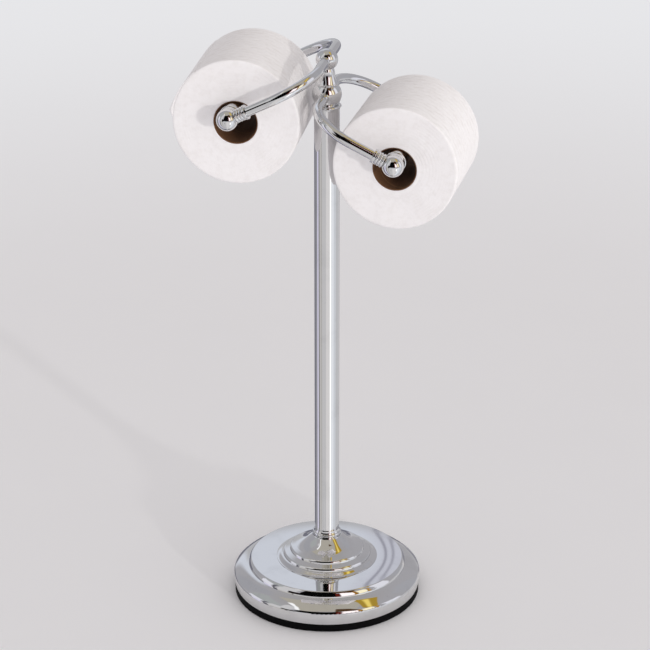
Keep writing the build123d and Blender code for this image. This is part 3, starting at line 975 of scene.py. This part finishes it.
@dataclass(frozen=True)
class Studio:
    """Floor, background, soft light and two lamps at the right.

    The weak key gives the arms their soft shadows on the paper. The very broad fill lifts the
    right sides and the undersides.
    """

    floor_radius: float = 3.0
    floor_gap: float = 0.2 * MM
    floor_sides: int = 96
    key: Sun = Sun("key_light", bearing=44.0, height=8.5, size=1.8, strength=0.70)
    fill: Sun = Sun("fill_light", bearing=52.0, height=2.0, size=50.0, strength=0.36)

    def build(self) -> None:
        """Set up the floor, the world and the lamps."""
        self.lay_floor()
        self.paint_world()
        for lamp in (self.key, self.fill):
            lamp.hang()

    def lay_floor(self) -> None:
        """A round floor just under the rubber."""
        mesh = bpy.data.meshes.new("studio_floor")
        disc = bmesh.new()
        bmesh.ops.create_circle(
            disc, cap_ends=True, segments=self.floor_sides, radius=self.floor_radius
        )
        disc.to_mesh(mesh)
        disc.free()
        mesh.materials.append(PaleFloor().material())
        floor = add_object("studio_floor", mesh)
        floor.location.z = -self.floor_gap
        log.info("floor laid, %.1f m across", 2 * self.floor_radius)

    def paint_world(self) -> None:
        """Pale background for the camera, the room for mirrored rays, soft light for the rest."""
        world = bpy.data.worlds.new("studio")
        bpy.context.scene.world = world
        world.use_nodes = True
        canvas = Canvas(world.node_tree)
        direction = canvas.node("ShaderNodeTexCoord", output="Generated")
        camera_ray = canvas.node("ShaderNodeLightPath", output="Is Camera Ray")
        soft = SoftLight()
        light, room, pale = (
            canvas.node("ShaderNodeBackground", None, {"Color": colour, "Strength": strength})
            for colour, strength in (
                (soft.paint(canvas, direction), soft.strength),
                (Room().paint(canvas, direction), 1.0),
                (linear(BACKDROP), 1.0),
            )
        )
        lit = canvas.choose(camera_ray.output("Is Glossy Ray"), light, room)
        shown = canvas.choose(camera_ray, lit, pale)
        canvas.place("ShaderNodeOutputWorld", None, {"Surface": shown})
        log.info("room, soft light and background painted")


@dataclass(frozen=True)
class Viewpoint:
    """The camera, at the photograph's angle."""

    lens: float = 144.0
    sensor: float = 36.0
    aim: Triple = (0.0, 0.0, 0.2796)
    distance: float = 2.448
    height: float = 23.2
    shift_x: float = -0.0029

    def build(self) -> None:
        """Make the camera and give it to the scene."""
        data = bpy.data.cameras.new("viewpoint")
        data.lens = self.lens
        data.sensor_width = self.sensor
        data.shift_x = self.shift_x
        camera = add_object("viewpoint", data)
        back = towards(VIEWER_BEARING, self.height)
        camera.location = Vector(self.aim) + back * self.distance
        camera.rotation_euler = back.to_track_quat("Z", "Y").to_euler()
        bpy.context.scene.camera = camera
        log.info("camera placed")


def dress(finish: Finish, *nodes: str) -> None:
    """Give CAD nodes their finish.

    Args:
        finish: the finish that they take.
        nodes: the nodes' names.
    """
    for node in nodes:
        materials = frame["nodes"][node].data.materials
        materials.clear()
        materials.append(finish.material())
        log.info("%s: %s", node, finish.name)


def joint_row(name: str) -> dict:
    """The frame's facts about one joint, by its name."""
    return next(row for row in frame["joints"] if row["name"] == name)


def skin(
    work: bmesh.types.BMesh, rows: list[Points], round_row: bool = False, all_round: bool = False
) -> None:
    """Fill the space between rows of points with four-sided faces.

    Args:
        work: the mesh that the points are in.
        rows: the rows, with equally many points.
        round_row: whether the last point of a row joins its first.
        all_round: whether the last row joins the first.
    """
    count = len(rows[0])
    for row, following in zip(rows, rows[1:] + rows[:1] if all_round else rows[1:]):
        for place in range(count if round_row else count - 1):
            after = (place + 1) % count
            work.faces.new((row[place], following[place], following[after], row[after]))


def kept_mesh(work: bmesh.types.BMesh, name: str, smooth: bool = True) -> bpy.types.Mesh:
    """Turn a working mesh into one for an object, with its faces outwards.

    Args:
        work: the working mesh, which is freed.
        name: the new mesh's name.
        smooth: whether its faces are shaded smooth.

    Returns:
        The new mesh.
    """
    bmesh.ops.recalc_face_normals(work, faces=work.faces)
    for face in work.faces:
        face.smooth = smooth
    mesh = bpy.data.meshes.new(name)
    work.to_mesh(mesh)
    work.free()
    return mesh


def turned_mesh(
    name: str, profile: Profile, sides: int, shape: Callable[[float, float, float], Vector]
) -> bpy.types.Mesh:
    """Turn a closed outline about the local Z axis, with every point placed by a function.

    Args:
        name: the mesh's name.
        profile: radius and height of each point of the closed outline.
        sides: number of points round the axis.
        shape: gives the place of a point from its radius, its height and its angle.

    Returns:
        The closed mesh, shaded smooth.
    """
    work = bmesh.new()
    rings = []
    for angle in spread(0.0, TURN, sides):
        rings.append([work.verts.new(shape(radius, height, angle)) for radius, height in profile])
    skin(work, rings, round_row=True, all_round=True)
    return kept_mesh(work, name)


def add_piece(mesh: bpy.types.Mesh, finish: Finish, place: Matrix) -> bpy.types.Object:
    """Put a mesh in the scene as a piece of the holder.

    Args:
        mesh: the mesh, whose name the piece takes.
        finish: the finish that it takes.
        place: its matrix at rest.

    Returns:
        The piece.
    """
    mesh.materials.append(finish.material())
    piece = add_object(mesh.name, mesh)
    piece.matrix_world = place
    log.info("%s: %s, %d points", mesh.name, finish.name, len(mesh.vertices))
    return piece


class SubAssembly(ABC):
    """A part of the holder that makes and dresses its own pieces."""

    plating: Finish = ChromePlate()
    steel: Finish = TurnedSteel()

    @abstractmethod
    def build(self) -> None:
        """Make and dress every piece of this part."""


@dataclass
class WeightedBase(SubAssembly):
    """Rubber ring, iron weight, spun shell and stepped collar."""

    shell_finish: Finish = ChromePlate(
        "chrome_plate_spun", grain=Cloud(9.0, 1.0), grain_height=0.3 * MM
    )

    def build(self) -> None:
        """Dress the base's nodes."""
        dress(MouldedRubber(), "rubber_base")
        dress(CastIron(), "base_weight")
        dress(self.shell_finish, "base_shell")
        dress(self.plating, "base_collar")
        dress(self.steel, "tie_rod", "base_washer", "base_nut")


@dataclass
class Post(SubAssembly):
    """Post tube with the beaded ring at its foot and the flared ring at its top."""

    tube_finish: Finish = ChromePlate(
        "chrome_plate_drawn", grain=Cloud(30.0, 1.0), grain_height=0.08 * MM
    )

    def build(self) -> None:
        """Dress the post's nodes."""
        dress(self.tube_finish, "post_tube")
        dress(self.plating, "foot_ring", "post_top_ring")
        dress(self.steel, "foot_plug", "top_plug")


class Head(SubAssembly):
    """The two hubs that carry the arms, with the neck piece between them."""

    def build(self) -> None:
        """Dress the head's nodes."""
        dress(self.plating, "lower_hub", "neck_piece", "upper_hub")
        dress(self.steel, "lower_stud", "upper_stud")


@dataclass
class ArmPair(SubAssembly):
    """Two bent arms of one side, each with its ringed collar and ball elbow."""

    side: Side

    def build(self) -> None:
        """Dress both arms of this side."""
        for end in End:
            for piece in ("arm", "collar", "elbow"):
                dress(self.plating, f"{self.side.value}_{end.value}_{piece}")


@dataclass
class SprungRoller(SubAssembly):
    """The two-part roller between the elbows, with its spring inside."""

    side: Side

    def build(self) -> None:
        """Dress the roller's nodes and make its spring."""
        for piece in ("tube", "front_cap", "plunger", "back_cap"):
            dress(self.plating, f"{self.side.value}_roller_{piece}")
        CoilSpring(self.side).build()


@dataclass
class CoilSpring(SubAssembly):
    """The spring inside a roller. It stands for the CAD one."""

    side: Side
    wire_radius: float = 0.6 * MM
    turns: int = 8
    turn_steps: int = 36
    wire_sides: int = 12

    def wire_ring(self, share: float, coil_radius: float, length: float) -> list[Vector]:
        """Find the points round the wire at one place along it.

        Args:
            share: the place, from 0 at the front end to 1 at the back one.
            coil_radius: radius of the wire's middle about the roller's axis.
            length: length of the whole spring.

        Returns:
            The points, from the middle of the spring's front end.
        """
        angle = TURN * self.turns * share
        across = Vector((math.cos(angle), 0.0, math.sin(angle)))
        along = Vector((0.0, 1.0, 0.0))
        reach = self.wire_radius + (length - 2 * self.wire_radius) * share
        middle = across * coil_radius + along * reach
        return [
            middle + (across * math.cos(turned) + along * math.sin(turned)) * self.wire_radius
            for turned in spread(0.0, TURN, self.wire_sides)
        ]

    def build(self) -> None:
        """Make the coil."""
        side = self.side.value
        node = f"{side}_roller_spring"
        joint = joint_row(f"{side}_plunger_slide")
        low, high = (Vector(corner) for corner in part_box(node))
        length = high.y - low.y
        coil_radius = (high.x - low.x) / 2 - self.wire_radius
        front = Vector(((low.x + high.x) / 2, low.y, (low.z + high.z) / 2))
        count = self.turns * self.turn_steps
        work = bmesh.new()
        rings = []
        for place in range(count + 1):
            points = self.wire_ring(place / count, coil_radius, length)
            rings.append([work.verts.new(point) for point in points])
        skin(work, rings, round_row=True)
        for end_ring in (rings[0], rings[-1]):
            work.faces.new(end_ring)
        mesh = kept_mesh(work, f"{side}_coil_spring", smooth=False)
        spring = add_piece(mesh, self.steel, Matrix.Translation(front))
        keep = 1 - joint["range_m"][1] / length
        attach(spring, f"{self.side.value}_roller")
        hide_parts(node)
        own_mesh(spring)


@dataclass
class PaperRoll(SubAssembly):
    """One roll: wound tissue with soft edges on a brown core, in the roll's tilted frame."""

    side: Side
    radius: float
    seam_share: float
    seed: float
    with_loose_end: bool = False
    bore_radius: float = 20.3 * MM
    edge_round: float = 2.2 * MM
    edge_steps: int = 7
    face_rows: int = 44
    bore_rows: int = 6
    sides: int = 420
    line_row_shares: tuple[float, ...] = (-1.25, -0.95, -0.65, -0.35, 0.0, 0.35, 0.65, 0.95, 1.25)
    lines: PressedLines = PressedLines()
    line_fade: float = 3.0 * MM
    out_of_round: float = 0.25 * MM
    bore_fade: float = 3.0 * MM
    face_wave: float = 0.28 * MM
    face_sink: float = 0.15 * MM
    wave_scale: float = 55.0
    face_apart: float = 3.0
    layer_height: float = 0.05 * MM
    wander_scale_share: float = 0.5
    wander_turns: float = 1.3
    patch_scale_share: float = 0.7
    patch_lean: float = 0.35
    patch_span: Span = (-0.05, 0.5)

    def frame_matrix(self) -> Matrix:
        """Find the roll's own frame, from its joint.

        Returns:
            The matrix whose Z axis runs along the roll, with its origin in the roll's middle.
        """
        joint = joint_row(f"{self.side.value}_roll_spin")
        along = Vector(joint["axis"]).normalized()
        upward = Vector((0.0, 0.0, 1.0))
        outward = upward.cross(along).normalized()
        turn = Matrix((outward, upward, along)).transposed().to_4x4()
        return Matrix.Translation(Vector(joint["pos_m"])) @ turn

    def rounded_edge(self, first: float, last: float) -> Profile:
        """Find the points of one rounded edge.

        Args:
            first: the angle that it starts at, above 0 at the back and below 0 at the front.
            last: the angle that it ends before.

        Returns:
            Radius and height of each point.
        """
        flat = math.copysign(ROLL_LENGTH / 2 - self.edge_round, first + last)
        middle = self.radius - self.edge_round
        return [
            (middle + self.edge_round * math.cos(angle), flat + self.edge_round * math.sin(angle))
            for angle in spread(first, last, self.edge_steps)
        ]

    def outline(self) -> Profile:
        """Draw the paper's outline: back face, edge, wall, edge, front face and bore.

        Returns:
            Radius and height of each point of the closed outline.
        """
        half = ROLL_LENGTH / 2
        turned_radius = self.radius - self.edge_round
        out = spread(self.bore_radius, turned_radius, self.face_rows)
        back_in = spread(turned_radius, self.bore_radius, self.face_rows)
        points = [(radius, half) for radius in out]
        points += self.rounded_edge(math.pi / 2, 0.0)
        points.append((self.radius, half - self.edge_round))
        for centre in reversed(self.lines.centres()):
            for share in reversed(self.line_row_shares):
                points.append((self.radius, centre + share * self.lines.half_width))
        points += self.rounded_edge(0.0, -math.pi / 2)
        points += [(radius, -half) for radius in back_in]
        points += [(self.bore_radius, height) for height in spread(-half, half, self.bore_rows)]
        return points

    def paper_point(self, radius: float, height: float, angle: float) -> Vector:
        """Place one point of the paper, with its relief.

        Args:
            radius: distance from the roll's axis before the relief.
            height: place along the axis before the relief.
            angle: angle round the axis.

        Returns:
            The place in the roll's frame.
        """
        half = ROLL_LENGTH / 2
        edge = half - self.edge_round
        outer = blend_share(radius, self.radius - self.edge_round, self.radius)
        face = blend_share(abs(height), edge, half)
        inner = blend_share(radius, self.bore_radius, self.bore_radius + self.bore_fade)
        across = Vector((math.cos(angle), math.sin(angle), 0.0))
        end = math.copysign(1.0, height)
        flat = across * radius * self.wave_scale
        flat += Vector((self.seed, 0.0, end * self.face_apart))
        waves = noise.noise(flat) * self.face_wave
        wander = noise.noise(flat * self.wander_scale_share) * self.wander_turns
        turns = radius / LAYER_PITCH + angle / TURN + wander
        patch = noise.noise(flat * self.patch_scale_share) - self.patch_lean * math.cos(angle)
        layers = math.sin(turns * TURN) * self.layer_height * blend_share(patch, *self.patch_span)
        raised = (waves + layers - self.face_sink - self.face_wave) * face * inner
        sunk = self.wall_relief(height, angle) * outer * (1 - face)
        steady = blend_share(abs(height), edge - self.line_fade, edge)
        strayed = self.lines.sway(angle) * outer * (1 - steady)
        return across * (radius - sunk) + Vector((0.0, 0.0, height + end * raised + strayed))

    def wall_relief(self, height: float, angle: float) -> float:
        """Depth of the outer wall below its radius: pressed lines, and a little out of round."""
        round_share = 0.5 + 0.5 * math.sin(2 * angle + self.seed) * math.cos(angle)
        return self.lines.depth_at(height, angle) + self.out_of_round * round_share

    def build(self) -> None:
        """Make the paper, its loose end and its core."""
        side = self.side.value
        mesh = turned_mesh(f"{side}_wound_paper", self.outline(), self.sides, self.paper_point)
        paper = self.add_piece(mesh, Tissue())
        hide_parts(f"{self.side.value}_paper_roll")
        BoardCore(self).build()
        if self.with_loose_end:
            LooseEnd(self).build()

    def add_piece(self, mesh: bpy.types.Mesh, finish: Finish) -> bpy.types.Object:
        """Add a piece that rides with the roll.

        Args:
            mesh: the piece's mesh, in the roll's frame.
            finish: the finish that it takes.

        Returns:
            The piece.
        """
        piece = add_piece(mesh, finish, self.frame_matrix())
        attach(piece, f"{self.side.value}_roll")
        return piece


@dataclass
class BoardCore(SubAssembly):
    """The brown board tube inside a roll, with a raised seam that winds along it."""

    roll: PaperRoll
    inner_radius: float = 19.4 * MM
    outer_radius: float = 20.2 * MM
    recess: float = 0.3 * MM
    seam_width: float = 1.3 * MM
    seam_height: float = 0.18 * MM
    rows: int = 110
    sides: int = 180

    def point(self, radius: float, height: float, angle: float) -> Vector:
        """Place one point of the board, with the seam's ridge on its inner face.

        Args:
            radius: distance from the axis before the ridge.
            height: place along the axis.
            angle: angle round the axis.

        Returns:
            The place in the roll's frame.
        """
        turns = angle / TURN - height / SEAM_PITCH - self.roll.seam_share
        along_seam = (turns - math.floor(turns)) * SEAM_PITCH
        ridge = blend_share(along_seam, 0.0, self.seam_width)
        ridge *= 1 - blend_share(along_seam, self.seam_width, 2 * self.seam_width)
        if radius < (self.inner_radius + self.outer_radius) / 2:
            radius += ridge * self.seam_height
        return Vector((radius * math.cos(angle), radius * math.sin(angle), height))

    def build(self) -> None:
        """Make the board tube."""
        side = self.roll.side.value
        half = ROLL_LENGTH / 2 - self.recess
        outline = [(self.inner_radius, height) for height in spread(-half, half, self.rows)]
        outline += [(self.inner_radius, half), (self.outer_radius, half), (self.outer_radius, -half)]
        mesh = turned_mesh(f"{side}_board_core", outline, self.sides, self.point)
        core = self.roll.add_piece(mesh, CoreBoard(f"core_board_{side}", self.roll.seam_share))
        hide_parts(f"{self.roll.side.value}_core")


@dataclass
class LooseEnd(SubAssembly):
    """The free end of the paper, which stands off the roll and folds back at its tip.

    Its angles are in degrees above the level of the roll's axis.
    """

    roll: PaperRoll
    embed: float = 0.5 * MM
    lift: float = 3.1 * MM
    rise_power: float = 3.5
    root_angle: float = 50.0
    tip_angle: float = 8.5
    fold_angle: float = 2.5
    inset: float = 0.9 * MM
    ripple: float = 0.3 * MM
    ripple_scale: float = 40.0
    ripple_step: float = 0.06
    ripple_seed: float = 2.0
    rows: int = 56
    fold_rows: int = 8
    columns: int = 60

    def path(self) -> Profile:
        """Draw the sheet's outer face from its root to its fold.

        Returns:
            Radius and angle of each row of the sheet.
        """
        points: Profile = []
        for share in spread(0.0, 1.0, self.rows):
            angle = self.root_angle + (self.tip_angle - self.root_angle) * share
            points.append((self.roll.radius + share**self.rise_power * self.lift, angle))
        for share in spread(0.0, 1.0, self.fold_rows):
            angle = self.tip_angle + (self.fold_angle - self.tip_angle) * share
            points.append((self.roll.radius + self.lift * (1 - share), angle))
        points.append((self.roll.radius, self.fold_angle))
        return points

    def build(self) -> None:
        """Make the sheet as a closed body that reaches down into the roll."""
        half = ROLL_LENGTH / 2 - self.inset
        under = self.roll.radius - self.embed
        work = bmesh.new()
        rows = []
        for place, (radius, degrees) in enumerate(self.path()):
            angle = math.radians(degrees)
            across = Vector((math.cos(angle), math.sin(angle), 0.0))
            lift_share = (radius - self.roll.radius) / self.lift
            outer, inner = [], []
            for column in range(self.columns + 1):
                height = -half + 2 * half * column / self.columns
                spot = Vector((height * self.ripple_scale, place * self.ripple_step, self.ripple_seed))
                dent = self.ripple * lift_share * (0.5 + 0.5 * noise.noise(spot))
                along = Vector((0.0, 0.0, height))
                outer.append(work.verts.new(across * (radius - dent) + along))
                inner.append(work.verts.new(across * under + along))
            rows.append((outer, inner))
        skin(work, [outer + inner[::-1] for outer, inner in rows], round_row=True)
        for end_row in (rows[0], rows[-1]):
            skin(work, list(end_row))
        mesh = kept_mesh(work, f"{self.roll.side.value}_loose_end")
        sheet = self.roll.add_piece(mesh, Tissue())


def write_sizes() -> None:
    """Log that the holder is built."""
    log.info("sizes written")


def main() -> None:
    """Build the studio, the camera and every part of the holder in order."""
    logging.basicConfig(level=logging.INFO, format="%(name)s: %(message)s")
    bpy.context.scene.view_settings.view_transform = "Standard"
    Studio().build()
    Viewpoint().build()
    WeightedBase().build()
    Post().build()
    Head().build()
    for side in Side:
        ArmPair(side).build()
        SprungRoller(side).build()
    PaperRoll(
        Side.LEFT, radius=58.2 * MM, seam_share=0.095, seed=1.0, with_loose_end=True
    ).build()
    PaperRoll(Side.RIGHT, radius=57.1 * MM, seam_share=0.441, seed=5.0).build()
    write_sizes()


if __name__ == "__main__":
    main()
